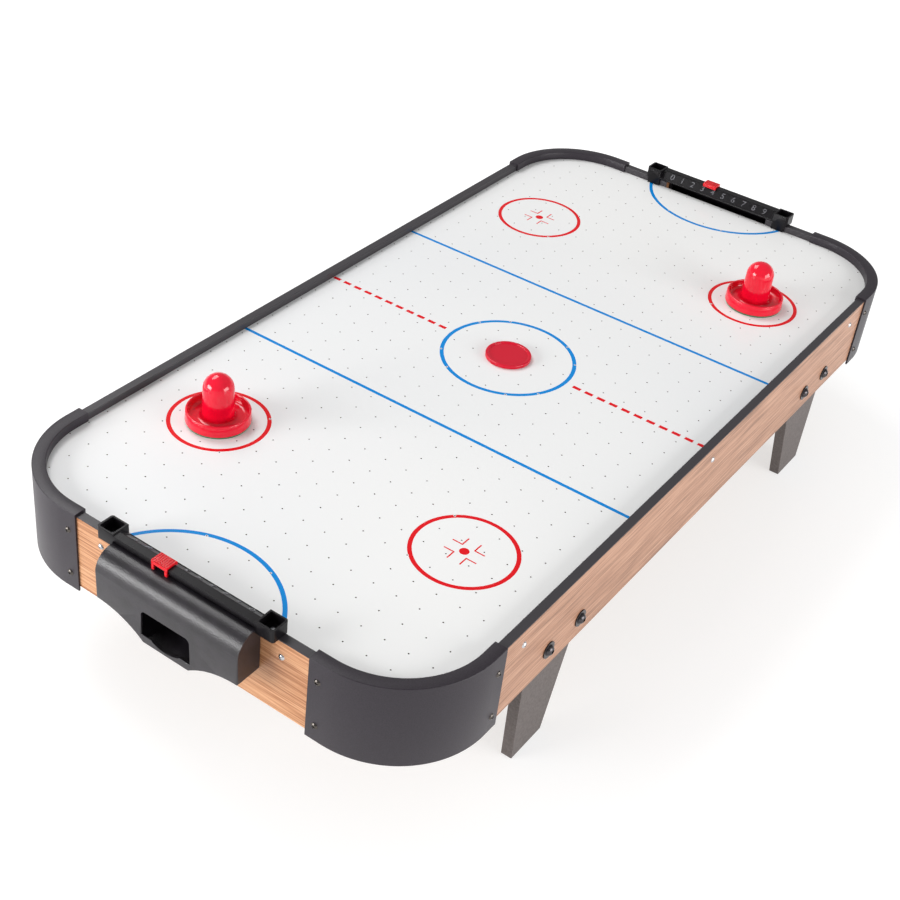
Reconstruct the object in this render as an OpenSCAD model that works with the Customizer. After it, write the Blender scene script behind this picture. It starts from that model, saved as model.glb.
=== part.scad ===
// Tabletop air hockey table: a laminated board frame with moulded corner caps, a drilled
// playing surface over a shallow air chamber, a fan below it, a goal box and a sliding
// score marker at each end, four bolted legs, two mallets and a puck.
// X is the table's width, Y its length, Z is up, and the floor is Z = 0.
// Right is +X, left is -X, near is -Y and far is +Y.

/* [Table] */
// Length over the end boards
table_len = 1020; // [850:10:1230]
// Width over the side boards
table_wid = 508; // [420:4:612]
// Height of the playing surface above the floor
surface_h = 191; // [155:1:232]
// Height of the rail above the playing surface
rail_rise = 8; // [6.5:0.5:10]
// Outside radius of the frame's corners
corner_r = 100; // [82:2:120]

/* [Boards] */
// Thickness of the side and end boards
panel_t = 8; // [6.5:0.5:10]
// Height of the side and end boards
panel_h = 83.5; // [76:0.5:102]
// Thickness of the rail trim over the boards
trim_t = 1.5; // [1:0.1:2]
// Thickness of the trim's skirt on the boards' inner face
skirt_t = 1.5; // [1:0.1:2.5]

/* [Corner caps] */
// Wall thickness of a cap
cap_wall = 2; // [1.5:0.1:3]
// Thickness of the cap's top over the rail
cap_top_t = 2.5; // [2:0.1:4]
// Length of the straight lap over each board
cap_lap = 17; // [14:1:22]
// Drop of the cap below the boards
cap_drop = 5; // [0:0.5:8]

/* [Playing surface] */
// Thickness of the playing surface
surface_t = 3; // [2.4:0.1:4]
// Pitch of the air holes
hole_pitch = 25.4; // [21:0.1:31]
// Diameter of an air hole
hole_d = 1.2; // [0.9:0.1:1.6]

/* [Air chamber] */
// Height of the air chamber below the playing surface
chamber_h = 25; // [20:0.5:31]
// Thickness of the chamber's floor
floor_t = 3; // [2.4:0.1:4]
// Width of the battens that carry the surface
batten_t = 12; // [10:0.5:15]
// Thickness of a chamber rib and of the foam end wall
rib_t = 5; // [4:0.5:6]

/* [Goals] */
// Width of the goal mouth in the end board
goal_w = 146; // [120:1:180]
// How far the goal box reaches past the mouth on each side
box_margin = 10.5; // [10:0.5:14]
// Depth of the goal box outside the end board
box_depth = 29.5; // [25:0.5:36]
// Height of the goal box top above the playing surface
box_rise = 12; // [10:0.5:13]
// Depth of the goal box floor below the playing surface
box_floor = 57.5; // [52:0.5:60]
// Depth of the goal box sides below the playing surface
box_side = 38; // [34:0.5:44]
// Radius of the rounded top edge
box_round = 20; // [14:0.5:22]
// Wall thickness of the goal box
box_wall = 2.5; // [2:0.1:3]
// Width of the puck window
window_w = 57; // [52:0.5:64]
// Height of the puck window
window_h = 29; // [24:0.5:31]

/* [Score bars] */
// Side of a square end cup
cup_w = 20.3; // [17:0.1:22]
// Height of a cup's rim above the playing surface
cup_rise = 21.4; // [20:0.1:26]
// Radius of a cup's outer corners
cup_round = 3; // [2.5:0.1:4]
// Height of the score bar above the playing surface
bar_rise = 20; // [18:0.5:24]
// Distance from the goal mouth's edge to a cup
cup_offset = 9.7; // [9:0.1:12]
// Wall thickness of the score bar
bar_wall = 2; // [1.6:0.1:2.4]
// Width of the sliding marker
marker_w = 18.5; // [15.5:0.5:22]
// Where the near marker stands
near_marker_x = -25; // [-60:1:60]
// Where the far marker stands
far_marker_x = -15; // [-60:1:60]

/* [Legs] */
// Thickness of a leg
leg_t = 12; // [10:0.5:15]
// Width of a leg at the floor
leg_foot_w = 52; // [44:1:62]
// Distance from the table's end to the leg at the floor
leg_inset = 183.5; // [170:0.5:200]
// How far a leg's outer edge flares towards the end
leg_flare_out = 6.5; // [0:0.5:12]
// How far a leg's inner edge flares towards the middle
leg_flare_in = 46; // [38:1:56]
// Distance between a leg's two bolts
bolt_gap = 56; // [46:1:62]
// Diameter of a leg bolt
bolt_d = 6; // [5:0.5:7]

/* [Mallets and puck] */
// Diameter of a mallet's base
mallet_d = 67.4; // [56:0.2:81]
// Height of a mallet
mallet_h = 55; // [48:0.5:66]
// Diameter of a mallet's knob
knob_d = 32; // [27:0.5:38]
// Diameter of the puck
puck_d = 50.8; // [42:0.2:52]
// Thickness of the puck
puck_t = 4.6; // [3.8:0.1:5.6]

/* [Blower] */
// Side of the square fan housing
fan_w = 92; // [80:1:110]
// Height of the fan housing
fan_h = 30; // [26:0.5:33]
// Number of fan blades
blade_count = 7; // [5:1:9]

/* [Hidden] */

eps = 0.01;
fit = 0.5;                                   // loose fit between boards and mouldings
pilot = 0.05;                                // radial room round a screw in its pilot hole
facets = 64;
small_facets = 32;

half_l = table_len / 2;
half_w = table_wid / 2;
rail_w = panel_t + skirt_t;
rail_z = surface_h + rail_rise;
board_top = rail_z - trim_t;
board_z = board_top - panel_h;
arc_x = half_w - corner_r;                   // corner arc centres
arc_y = half_l - corner_r;
surface_z = surface_h - surface_t;           // underside of the playing surface
floor_top = surface_z - chamber_h;
floor_z = floor_top - floor_t;

box_w = goal_w + 2 * box_margin;
bar_len = goal_w + 2 * (cup_offset + cup_w);
duct_d = fan_w - 8;

pocket_depth = 25;                           // goal box pocket beyond the end board, inwards
pocket_back = half_l - panel_t - pocket_depth;
wall_out = pocket_back - 0.8;                // outer face of the foam end wall
batten_end = arc_y - 5;

board_screw_d = 3;
board_screw_z = surface_h - 10.5;
side_screw_y = half_l - 150;
end_screw_x = box_w / 2 + 23;
cap_screw_in = 10;                           // from the cap's edge to its screws
cap_screw_z = [surface_h - 12, surface_h - 64];
floor_screw_y = [60, half_l - 325];

leg_mid = half_l - leg_inset - (leg_foot_w + leg_flare_in - leg_flare_out) / 2;
bolt_z = board_z + 23;
bolt_hole_d = bolt_d + 0.5;
washer_d = 3 * bolt_d;
washer_t = 1.4;

bar_front = -3;                              // score bar's front, inward of the field's edge
field_y = half_l - rail_w;                   // where the playing field ends
cup_mid_x = (bar_len - cup_w) / 2;
track_half = bar_len / 2 - cup_w;
slot_rise = 11.5;                            // top of the goal mouth under the score bar
marker_gap = 0.35;

spot_x = 151;                                // face-off spots, where the mallets stand
spot_y = 304;

switch_y = -40;
jack_y = 10;
socket_z = board_z + 28;
rocker_tilt = 8;
rocker_depth = 1;                            // rocker pivot below the board's outer face

// ---- shared shapes ----

module rounded_outline(inset) {
  r = corner_r - inset;
  for (sx = [-1, 1]) for (sy = [-1, 1]) translate([sx * arc_x, sy * arc_y]) circle(r, $fn = facets * 2);
  square([2 * (arc_x + r), 2 * arc_y], center = true);
  square([2 * arc_x, 2 * (arc_y + r)], center = true);
}

// places a child, made for the near right corner, at one of the four corners
module at_corner(sx, sy) {
  mirror([sx > 0 ? 0 : 1, 0, 0]) mirror([0, sy > 0 ? 1 : 0, 0]) children();
}

// turns a child that points along +Z so that it points out of a face of the frame
module out_right(y, z) { translate([half_w, y, z]) rotate([0, 90, 0]) children(); }
module out_left(y, z) { translate([-half_w, y, z]) rotate([0, -90, 0]) children(); }
module out_near(x, z) { translate([x, -half_l, z]) rotate([90, 0, 0]) children(); }
module out_far(x, z) { translate([x, half_l, z]) rotate([-90, 0, 0]) children(); }

module screw(head_d, head_h, shank_d, length) {
  ball = (head_d * head_d / 4 + head_h * head_h) / (2 * head_h);
  difference() {
    intersection() {
      translate([0, 0, head_h - ball]) sphere(ball, $fn = facets);
      cylinder(d = head_d + 1, h = head_h + 1, $fn = small_facets);
    }
    for (turn = [0, 90]) rotate(turn)
      translate([-head_d * 0.28, -head_d * 0.06, head_h * 0.35]) cube([head_d * 0.56, head_d * 0.12, head_h]);
  }
  translate([0, 0, -length]) cylinder(d = shank_d, h = length + head_h * 0.2, $fn = small_facets);
}

// ---- screw places, shared by the screws and by the holes they pass through ----

module panel_screw_places() {
  for (y = [-side_screw_y, 0, side_screw_y]) {
    out_right(y, board_screw_z) children();
    out_left(y, board_screw_z) children();
  }
  for (x = [-end_screw_x, end_screw_x]) {
    out_near(x, board_screw_z) children();
    out_far(x, board_screw_z) children();
  }
}

module cap_screw_places() {
  y = arc_y - cap_lap + cap_screw_in;
  x = arc_x - cap_lap + cap_screw_in;
  for (z = cap_screw_z) {
    for (s = [-1, 1]) {
      out_right(s * y, z) translate([0, 0, cap_wall]) children();
      out_left(s * y, z) translate([0, 0, cap_wall]) children();
      out_near(s * x, z) translate([0, 0, cap_wall]) children();
      out_far(s * x, z) translate([0, 0, cap_wall]) children();
    }
  }
}

module leg_bolt_places() {
  for (s = [-1, 1]) for (b = [-1, 1]) {
    out_right(s * (leg_mid + b * bolt_gap / 2), bolt_z) children();
    out_left(s * (leg_mid + b * bolt_gap / 2), bolt_z) children();
  }
}

module floor_screw_places() {
  for (sx = [-1, 1]) for (sy = [-1, 1]) for (y = floor_screw_y)
    translate([sx * (half_w - panel_t - batten_t / 2), sy * y, floor_z]) rotate([180, 0, 0]) children();
}

module score_bar_screw_places() {
  for (turn = [0, 180]) rotate(turn) for (s = [-1, 1])
    translate([s * cup_mid_x, -(half_l - panel_t / 2), rail_z + bar_wall]) children();
}

// screws run from inside the end board into the goal box's bosses
goal_screw_x = (goal_w / 2 + box_w / 2 - box_wall) / 2 + 0.6;
goal_screw_z = [surface_h - 8, surface_h - 28];
module goal_screw_places() {
  for (turn = [0, 180]) rotate(turn) for (s = [-1, 1]) for (z = goal_screw_z)
    translate([s * goal_screw_x, -(half_l - panel_t), z]) rotate([-90, 0, 0]) children();
}

// ---- playing surface ----

hole_cols = floor((half_w - rail_w - 12) / hole_pitch - 0.5);
hole_rows = floor((wall_out - rib_t - hole_d) / hole_pitch - 0.5);
hole_margin = 14;                            // least distance from a hole to the corner wall

function in_corner(x, y) = x > arc_x && y > arc_y
  && norm([x - arc_x, y - arc_y]) > corner_r - rail_w - hole_margin;

module playing_surface() {
  color("whitesmoke") translate([0, 0, surface_z]) linear_extrude(surface_t) difference() {
    rounded_outline(panel_t + fit);
    for (i = [-hole_cols - 0.5 : hole_cols + 0.5]) for (j = [-hole_rows - 0.5 : hole_rows + 0.5])
      if (!in_corner(abs(i) * hole_pitch, abs(j) * hole_pitch))
        translate([i, j] * hole_pitch) circle(d = hole_d, $fn = 16);
  }
}

// ---- frame boards ----

module board_screw_holes() {
  panel_screw_places() translate([0, 0, -panel_t - 1]) cylinder(d = board_screw_d + 0.4, h = panel_t + 2, $fn = 24);
}

module cap_pilot_holes() {
  cap_screw_places() translate([0, 0, -cap_wall - panel_t + 0.8])
    cylinder(d = board_screw_d + 2 * pilot, h = panel_t, $fn = 24);
}

module side_panel() {
  color("tan") difference() {
    translate([half_w - panel_t, -arc_y, board_z]) cube([panel_t, 2 * arc_y, panel_h]);
    board_screw_holes();
    cap_pilot_holes();
    leg_bolt_places() translate([0, 0, -panel_t - 1]) cylinder(d = bolt_hole_d, h = panel_t + 2, $fn = small_facets);
    children();
  }
}

module side_panel_right() { side_panel(); }

module side_panel_left() {
  rotate(180) side_panel() {
    rotate(180) out_left(switch_y, socket_z) translate([0, 0, -panel_t / 2]) cube([13, 19.6, panel_t + 1], center = true);
    rotate(180) out_left(jack_y, socket_z) translate([0, 0, -panel_t - 1]) cylinder(d = 8.4, h = panel_t + 2, $fn = small_facets);
  }
}

// the goal box outline, seen from the end, pulled in by inset; z is above the floor
side_arc_r = (pow(box_w / 2 - window_w / 2 + 1.5, 2) + pow(box_floor - box_side, 2)) / (2 * (box_floor - box_side));
module box_outline(inset, half, top) {
  drop = surface_h - box_floor + inset;
  difference() {
    translate([-half, drop]) square([2 * half, top - drop]);
    for (s = [-1, 1]) translate([s * box_w / 2, surface_h - box_side - side_arc_r])
      circle(side_arc_r + inset, $fn = 4 * facets);
  }
}

module end_panel() {
  color("tan") difference() {
    translate([-arc_x, -half_l, board_z]) cube([2 * arc_x, panel_t, panel_h]);
    translate([0, -half_l + panel_t + 1, 0]) rotate([90, 0, 0]) linear_extrude(panel_t + 2)
      box_outline(box_wall, goal_w / 2, board_top + 1);
    board_screw_holes();
    cap_pilot_holes();
    goal_screw_places() translate([0, 0, -panel_t - 1]) cylinder(d = board_screw_d + 0.4, h = panel_t + 2, $fn = 24);
    score_bar_screw_places() translate([0, 0, -bar_wall - trim_t - 12.5])
      cylinder(d = board_screw_d + 2 * pilot, h = 13, $fn = 24);
  }
}

module end_panel_near() { end_panel(); }
module end_panel_far() { rotate(180) end_panel(); }

// ---- rail trims: L-shaped strips over the boards' top and inner face ----

module trim_section() {
  translate([0, -trim_t]) square([rail_w, trim_t]);
  translate([panel_t, -rail_rise]) square([skirt_t, rail_rise]);
}

module side_trim_right() {
  color("#2b2a2d") translate([half_w, arc_y, rail_z]) rotate([90, 0, 0]) linear_extrude(2 * arc_y)
    mirror([1, 0]) trim_section();
}

module side_trim_left() { rotate(180) side_trim_right(); }

module end_trim_near_right() {
  color("#2b2a2d") difference() {
    translate([goal_w / 2, -half_l, rail_z]) rotate([90, 0, 90]) linear_extrude(arc_x - goal_w / 2) trim_section();
    score_bar_screw_places() translate([0, 0, -bar_wall - trim_t - 1]) cylinder(d = board_screw_d + 0.4, h = 6, $fn = 24);
  }
}

module end_trim_near_left() { mirror([1, 0, 0]) end_trim_near_right(); }
module end_trim_far_right() { mirror([0, 1, 0]) end_trim_near_right(); }
module end_trim_far_left() { rotate(180) end_trim_near_right(); }

// ---- corner caps: a bent channel that laps the ends of two boards ----

// a band round the near right corner, from offset a to offset b inside the boards' outer face
module corner_band(a, b) {
  reach = corner_r + cap_lap + cap_wall;
  intersection() {
    difference() {
      rounded_outline(a);
      rounded_outline(b);
    }
    translate([arc_x - cap_lap, -half_l - cap_wall]) square(reach);
  }
}

module corner_cap() {
  top = rail_z + cap_top_t;
  bottom = board_z - cap_drop;
  color("#3a3a3d") difference() {
    union() {
      translate([0, 0, bottom]) linear_extrude(top - bottom) corner_band(-cap_wall, 0);
      translate([0, 0, rail_z]) linear_extrude(cap_top_t) corner_band(-cap_wall, rail_w + cap_wall);
      translate([0, 0, surface_h]) linear_extrude(top - surface_h) corner_band(rail_w, rail_w + cap_wall);
    }
    cap_screw_places() translate([0, 0, -cap_wall - 1]) cylinder(d = board_screw_d + 0.4, h = cap_wall + 2, $fn = 24);
  }
}

module corner_cap_near_right() { at_corner(1, -1) corner_cap(); }
module corner_cap_near_left() { at_corner(-1, -1) corner_cap(); }
module corner_cap_far_right() { at_corner(1, 1) corner_cap(); }
module corner_cap_far_left() { at_corner(-1, 1) corner_cap(); }

// ---- air chamber ----

module chamber_floor() {
  color("burlywood") difference() {
    translate([0, 0, floor_z]) linear_extrude(floor_t) difference() {
      intersection() {
        rounded_outline(panel_t + fit);
        square([table_wid, 2 * wall_out], center = true);
      }
      circle(d = duct_d, $fn = 2 * facets);
    }
    fan_screw_places() translate([0, 0, fan_h - 1]) cylinder(d = fan_screw_d + 2 * pilot, h = floor_t + 2, $fn = 24);
    floor_screw_places() translate([0, 0, -floor_t - 1]) cylinder(d = board_screw_d + 0.4, h = floor_t + 2, $fn = 24);
  }
}

module side_batten_right() {
  color("wheat") difference() {
    translate([half_w - panel_t - batten_t, -batten_end, floor_top]) cube([batten_t, 2 * batten_end, chamber_h]);
    panel_screw_places() translate([0, 0, -panel_t - batten_t + 2]) cylinder(d = board_screw_d + 2 * pilot, h = batten_t, $fn = 24);
    floor_screw_places() translate([0, 0, -floor_t - 9]) cylinder(d = board_screw_d + 2 * pilot, h = 10, $fn = 24);
  }
}

module side_batten_left() { rotate(180) side_batten_right(); }

module end_battens() {
  inner = goal_w / 2 + 16;
  color("wheat") difference() {
    for (s = [-1, 1]) translate([s > 0 ? inner : -arc_x + 4, -half_l + panel_t, floor_top])
      cube([arc_x - 4 - inner, batten_t, chamber_h]);
    panel_screw_places() translate([0, 0, -panel_t - batten_t + 2]) cylinder(d = board_screw_d + 2 * pilot, h = batten_t, $fn = 24);
  }
}

module end_battens_near() { end_battens(); }
module end_battens_far() { rotate(180) end_battens(); }

module air_seal() {
  color("dimgray") translate([0, 0, floor_top]) linear_extrude(chamber_h) intersection() {
    rounded_outline(panel_t + fit);
    translate([-half_w, -wall_out]) square([table_wid, wall_out - batten_end]);
    union() {
      difference() {
        square([table_wid, table_len], center = true);
        rounded_outline(panel_t + fit + rib_t);
      }
      translate([-half_w, -wall_out]) square([table_wid, rib_t]);
    }
  }
}

module air_seal_near() { air_seal(); }
module air_seal_far() { rotate(180) air_seal(); }

rib_x = hole_pitch * 4;
rib_half = wall_out - rib_t - 6;
module chamber_rib_right() {
  windows = 6;
  span = 2 * rib_half / windows;
  color("wheat") difference() {
    translate([rib_x - rib_t / 2, -rib_half, floor_top]) cube([rib_t, 2 * rib_half, chamber_h]);
    for (i = [0 : windows - 1])
      translate([rib_x, -rib_half + span * (i + 0.5), floor_top + chamber_h / 2])
        cube([rib_t + 2, span * 0.6, chamber_h * 0.5], center = true);
  }
}

module chamber_rib_left() { mirror([1, 0, 0]) chamber_rib_right(); }

// ---- legs ----

module leg() {
  foot = -half_l + leg_inset;
  color("#3c3b3b") difference() {
    translate([half_w - panel_t - leg_t, 0, 0]) rotate([90, 0, 90]) linear_extrude(leg_t)
      polygon([
        [foot, 0], [foot + leg_foot_w, 0],
        [foot + leg_foot_w + leg_flare_in, floor_z], [foot - leg_flare_out, floor_z]
      ]);
    leg_bolt_places() translate([0, 0, -panel_t - leg_t - 1]) cylinder(d = bolt_hole_d, h = leg_t + 2, $fn = small_facets);
  }
}

module leg_near_right() { at_corner(1, -1) leg(); }
module leg_near_left() { at_corner(-1, -1) leg(); }
module leg_far_right() { at_corner(1, 1) leg(); }
module leg_far_left() { at_corner(-1, 1) leg(); }

module leg_washers() {
  color("#2a2a2a") leg_bolt_places() difference() {
    cylinder(d = washer_d, h = washer_t, $fn = facets);
    translate([0, 0, -1]) cylinder(d = bolt_hole_d, h = washer_t + 2, $fn = small_facets);
  }
}

module leg_bolts() {
  head_d = 2 * bolt_d;
  head_h = 0.7 * bolt_d;
  ball = (head_d * head_d / 4 + head_h * head_h) / (2 * head_h);
  color("#1f1f1f") leg_bolt_places() {
    difference() {
      translate([0, 0, washer_t]) intersection() {
        translate([0, 0, head_h - ball]) sphere(ball, $fn = facets);
        cylinder(d = head_d, h = head_h, $fn = facets);
      }
      translate([0, 0, washer_t + head_h * 0.35]) cylinder(d = 0.75 * bolt_d, h = head_h, $fn = 6);
    }
    translate([0, 0, -panel_t - leg_t - 8]) cylinder(d = bolt_d, h = panel_t + leg_t + 8 + washer_t + 1, $fn = small_facets);
  }
}

module leg_nuts() {
  color("silver") leg_bolt_places() translate([0, 0, -panel_t - leg_t - 5]) difference() {
    cylinder(d = 1.9 * bolt_d, h = 5, $fn = 6);
    translate([0, 0, -1]) cylinder(d = bolt_d + 2 * pilot, h = 7, $fn = small_facets);
  }
}

// ---- screws ----

module cap_screws() {
  color("#4a4744") cap_screw_places() screw(7, 2, board_screw_d, cap_wall + panel_t - 1.5);
}

module panel_screws() {
  color("gainsboro") panel_screw_places() screw(6.5, 2, board_screw_d, panel_t + batten_t - 3);
}

module floor_screws() {
  color("silver") floor_screw_places() screw(7, 2, board_screw_d, floor_t + 8);
}

module score_bar_screws() {
  color("silver") score_bar_screw_places() screw(6.5, 2, board_screw_d, bar_wall + trim_t + 11);
}

module goal_box_screws() {
  color("silver") goal_screw_places() screw(6, 1.8, board_screw_d, panel_t + 9);
}

// ---- goal boxes ----

// side view of the shell: d is the distance outside the end board
module box_side_view(inset) {
  r = box_round - inset;
  deep = box_depth - inset;
  top = surface_h + box_rise - inset;
  low = surface_h - box_floor - 1;
  translate([-1 - inset, low]) square([deep + 1 + inset, top - r - low]);
  translate([-1 - inset, low]) square([deep - r + 1 + inset, top - low]);
  translate([deep - r, top - r]) circle(r, $fn = 2 * facets);
}

module box_shell(inset) {
  intersection() {
    translate([0, -half_l + 1 + inset, 0]) rotate([90, 0, 0]) linear_extrude(box_depth + 2 + inset)
      box_outline(inset, box_w / 2 - inset, surface_h + box_rise + 5);
    translate([-box_w / 2 - 1, -half_l, 0]) rotate([90, 0, 90]) linear_extrude(box_w + 2)
      mirror([1, 0]) box_side_view(inset);
  }
}

module window_shape() {
  sill = surface_h - box_floor + 8.5;
  scoop_w = 34;
  scoop_h = 4.5;
  scoop_r = (pow(scoop_w / 2, 2) + pow(scoop_h, 2)) / (2 * scoop_h);
  r = 5;
  translate([-window_w / 2, sill]) square([window_w, window_h - r]);
  translate([-window_w / 2 + r, sill]) square([window_w - 2 * r, window_h]);
  for (s = [-1, 1]) translate([s * (window_w / 2 - r), sill + window_h - r]) circle(r, $fn = facets);
  intersection() {
    translate([0, sill - scoop_h + scoop_r]) circle(scoop_r, $fn = 2 * facets);
    translate([-scoop_w / 2, sill - scoop_h - 1]) square([scoop_w, scoop_h + 2]);
  }
}

module goal_box() {
  pocket_wall = box_wall + fit;
  pocket_half = goal_w / 2 - fit;
  color("#2e2d30") difference() {
    union() {
      difference() {
        intersection() {
          box_shell(0);
          translate([-box_w, -half_l - box_depth - 1, 0]) cube([2 * box_w, box_depth + 1, 2 * surface_h]);
        }
        box_shell(box_wall);
      }
      // back plate against the end board, with two screw bosses each side
      intersection() {
        box_shell(0);
        union() {
          translate([-box_w, -half_l - box_wall, 0]) cube([2 * box_w, box_wall, 2 * surface_h]);
          for (s = [-1, 1]) for (z = goal_screw_z)
            translate([s * goal_screw_x, -half_l, z]) rotate([90, 0, 0]) cylinder(d = 8, h = 16, $fn = small_facets);
        }
      }
      // pocket that runs in through the end board
      translate([0, -pocket_back, 0]) rotate([90, 0, 0]) linear_extrude(half_l - pocket_back + box_wall / 2)
        box_outline(pocket_wall, pocket_half, surface_z - 1);
    }
    translate([0, -pocket_back - box_wall, 0]) rotate([90, 0, 0]) linear_extrude(half_l - pocket_back + 1)
      box_outline(pocket_wall + box_wall, pocket_half - box_wall, surface_h + box_rise - box_wall);
    translate([0, -half_l - box_wall * 2, 0]) rotate([90, 0, 0]) linear_extrude(box_depth) window_shape();
    goal_screw_places() translate([0, 0, -panel_t - 10]) cylinder(d = board_screw_d + 2 * pilot, h = 12, $fn = 24);
  }
}

module goal_box_near() { goal_box(); }
module goal_box_far() { rotate(180) goal_box(); }

// ---- score bars: d is the distance outward from the field's edge ----

slope_in = [bar_front, slot_rise];           // front edge of the number plate
slope_out = [cup_w * 0.42, bar_rise];        // its back edge
bar_back = bar_front + cup_w;
lip_rise = bar_rise - 5.5;                   // lower edge of the bar's back wall

module bar_section() {
  back = bar_back;
  polygon([
    [slope_in[0], slope_in[1] - 1.5], slope_in, slope_out, [back, bar_rise], [back, lip_rise],
    [back - bar_wall, lip_rise], [back - bar_wall, bar_rise - bar_wall],
    [slope_out[0] + 0.8, bar_rise - bar_wall], [slope_in[0] + 1.8, slope_in[1] - 1.5]
  ]);
}

module along_bar(length) {
  translate([-length / 2, -field_y, surface_h]) rotate([90, 0, 90]) linear_extrude(length)
    mirror([1, 0]) children();
}

// a cup's corners are rounded on the side away from the bar
cup_mid_y = cup_w / 2 - field_y - bar_back;
module cup_outline(s) {
  r = cup_round;
  translate([-cup_w / 2 + (s < 0 ? r : 0), -cup_w / 2]) square([cup_w - r, cup_w]);
  square([cup_w, cup_w - 2 * r], center = true);
  for (y = [-1, 1]) translate([s * (cup_w / 2 - r), y * (cup_w / 2 - r)]) circle(r, $fn = small_facets);
}

module cup_hollow() {
  w = cup_w - 2 * bar_wall;
  r = cup_round / 2;
  square([w - 2 * r, w], center = true);
  square([w, w - 2 * r], center = true);
  for (x = [-1, 1]) for (y = [-1, 1]) translate([x * (w / 2 - r), y * (w / 2 - r)]) circle(r, $fn = small_facets);
}

module score_bar() {
  slope_angle = atan2(slope_out[1] - slope_in[1], slope_out[0] - slope_in[0]);
  slope_len = norm(slope_out - slope_in);
  color("#1d1c1f") difference() {
    union() {
      along_bar(2 * track_half + 1) bar_section();
      for (s = [-1, 1]) translate([s * cup_mid_x, 0, 0]) {
        difference() {
          translate([0, cup_mid_y, rail_z]) linear_extrude(cup_rise - rail_rise) cup_outline(s);
          translate([0, cup_mid_y, rail_z + bar_wall]) linear_extrude(cup_rise) cup_hollow();
        }
        translate([-cup_w / 2 + (s < 0 ? cup_round : 0), -field_y + 0.2, surface_h + 0.3])
          cube([cup_w - cup_round, -bar_front - 0.2, rail_rise]);
      }
    }
    // sunk panel that holds the numbers
    translate([0, -field_y - slope_in[0], surface_h + slope_in[1]]) rotate([-slope_angle, 0, 0])
      translate([-track_half + 3, -slope_len + 1, -0.7]) cube([2 * track_half - 6, slope_len - 2, 3]);
    score_bar_screw_places() translate([0, 0, -bar_wall - 1]) cylinder(d = board_screw_d + 0.4, h = bar_wall + 2, $fn = 24);
    // the cups step over the goal box's corners
    translate([-box_w / 2 - 0.2, -half_l - 20, surface_h]) cube([box_w + 0.4, 20.2, box_rise + 0.3]);
  }
}

module score_bar_near() { score_bar(); }
module score_bar_far() { rotate(180) score_bar(); }

// the marker's saddle sits on the bar; two legs with hooks clip below the back wall
module score_marker() {
  back = bar_back;
  gap = marker_gap;
  leg_w = 3;
  leg_d = 1.7;
  nose = 3;
  top = bar_rise + 3;
  slope = (slope_out[1] - slope_in[1]) / (slope_out[0] - slope_in[0]);
  color("red") {
    difference() {
      along_bar(marker_w) polygon([
        [slope_out[0] - nose, bar_rise + gap - nose * slope], [slope_out[0], bar_rise + gap],
        [back + gap, bar_rise + gap], [back + gap, bar_rise - 1.5], [back + gap + leg_d, bar_rise - 1.5],
        [back + gap + leg_d, top - 0.7], [back + gap + leg_d - 0.7, top], [slope_out[0] - nose + 1, top],
        [slope_out[0] - nose, top - 1]
      ]);
      // grip grooves across the top
      for (i = [-3 : 3]) translate([i * 2.4 - 0.4, -field_y - back - 4, surface_h + top - 0.5]) cube([0.8, 30, 1]);
    }
    for (s = [-1, 1]) translate([s * (marker_w - leg_w) / 2, 0, 0]) along_bar(leg_w) polygon([
      [back + gap, bar_rise - 1], [back + gap, lip_rise - gap], [back + gap - 1.6, lip_rise - gap],
      [back + gap, lip_rise - 2.2], [back + gap + leg_d, lip_rise - 2.2], [back + gap + leg_d, bar_rise - 1]
    ]);
  }
}

module score_marker_near() { translate([near_marker_x, 0, 0]) score_marker(); }
module score_marker_far() { translate([far_marker_x, 0, 0]) rotate(180) score_marker(); }

// ---- mallets and puck ----

pad_t = 1.8;
module mallet() {
  r = mallet_d / 2;
  wall = 2.4;
  rim_h = 14.4;
  dish = 5.5;                                // height of the dish's floor
  knob_r = knob_d / 2;
  neck_r = knob_r + 0.6;
  fillet = 4;
  bore_r = knob_r - 2.4;
  color("crimson") difference() {
    rotate_extrude($fn = 2 * facets) polygon(concat(
      [[0, pad_t], [r - 0.8, pad_t], [r, pad_t + 1.2], [r - 0.6, rim_h - 1.2]],
      [for (a = [0 : 30 : 180]) [r - 0.6 - wall / 2 + wall / 2 * cos(a), rim_h - 1.2 + wall / 2 * sin(a)]],
      [for (a = [0 : 15 : 90]) [r - 1 - wall - fillet + fillet * cos(a), dish + fillet - fillet * sin(a)]],
      [for (a = [0 : 15 : 90]) [neck_r + fillet - fillet * sin(a), dish + fillet - fillet * cos(a)]],
      [for (a = [0 : 7.5 : 90]) [knob_r * cos(a), mallet_h - knob_r + knob_r * sin(a)]]
    ));
    translate([0, 0, pad_t - 1]) cylinder(r = bore_r, h = mallet_h - knob_r - pad_t + 1, $fn = facets);
    translate([0, 0, mallet_h - knob_r - eps]) sphere(bore_r, $fn = facets);
  }
}

module mallet_pad() {
  color("seagreen") cylinder(r = mallet_d / 2 - 1.2, h = pad_t, $fn = 2 * facets);
}

module mallet_near() { translate([-spot_x, -spot_y, surface_h]) mallet(); }
module mallet_pad_near() { translate([-spot_x, -spot_y, surface_h]) mallet_pad(); }
module mallet_far() { translate([spot_x, spot_y, surface_h]) mallet(); }
module mallet_pad_far() { translate([spot_x, spot_y, surface_h]) mallet_pad(); }

module puck() {
  r = puck_d / 2;
  edge = 0.6;
  color("red") translate([0, 0, surface_h]) rotate_extrude($fn = 2 * facets) polygon([
    [0, 0.5], [r - 6, 0.5], [r - 5, 0], [r - edge, 0], [r, edge], [r, puck_t - edge], [r - edge, puck_t],
    [r - 4, puck_t], [r - 5, puck_t - 0.9], [0, puck_t - 0.9]
  ]);
}

// ---- blower: an axial fan under the chamber floor, driven by a small motor ----

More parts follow.
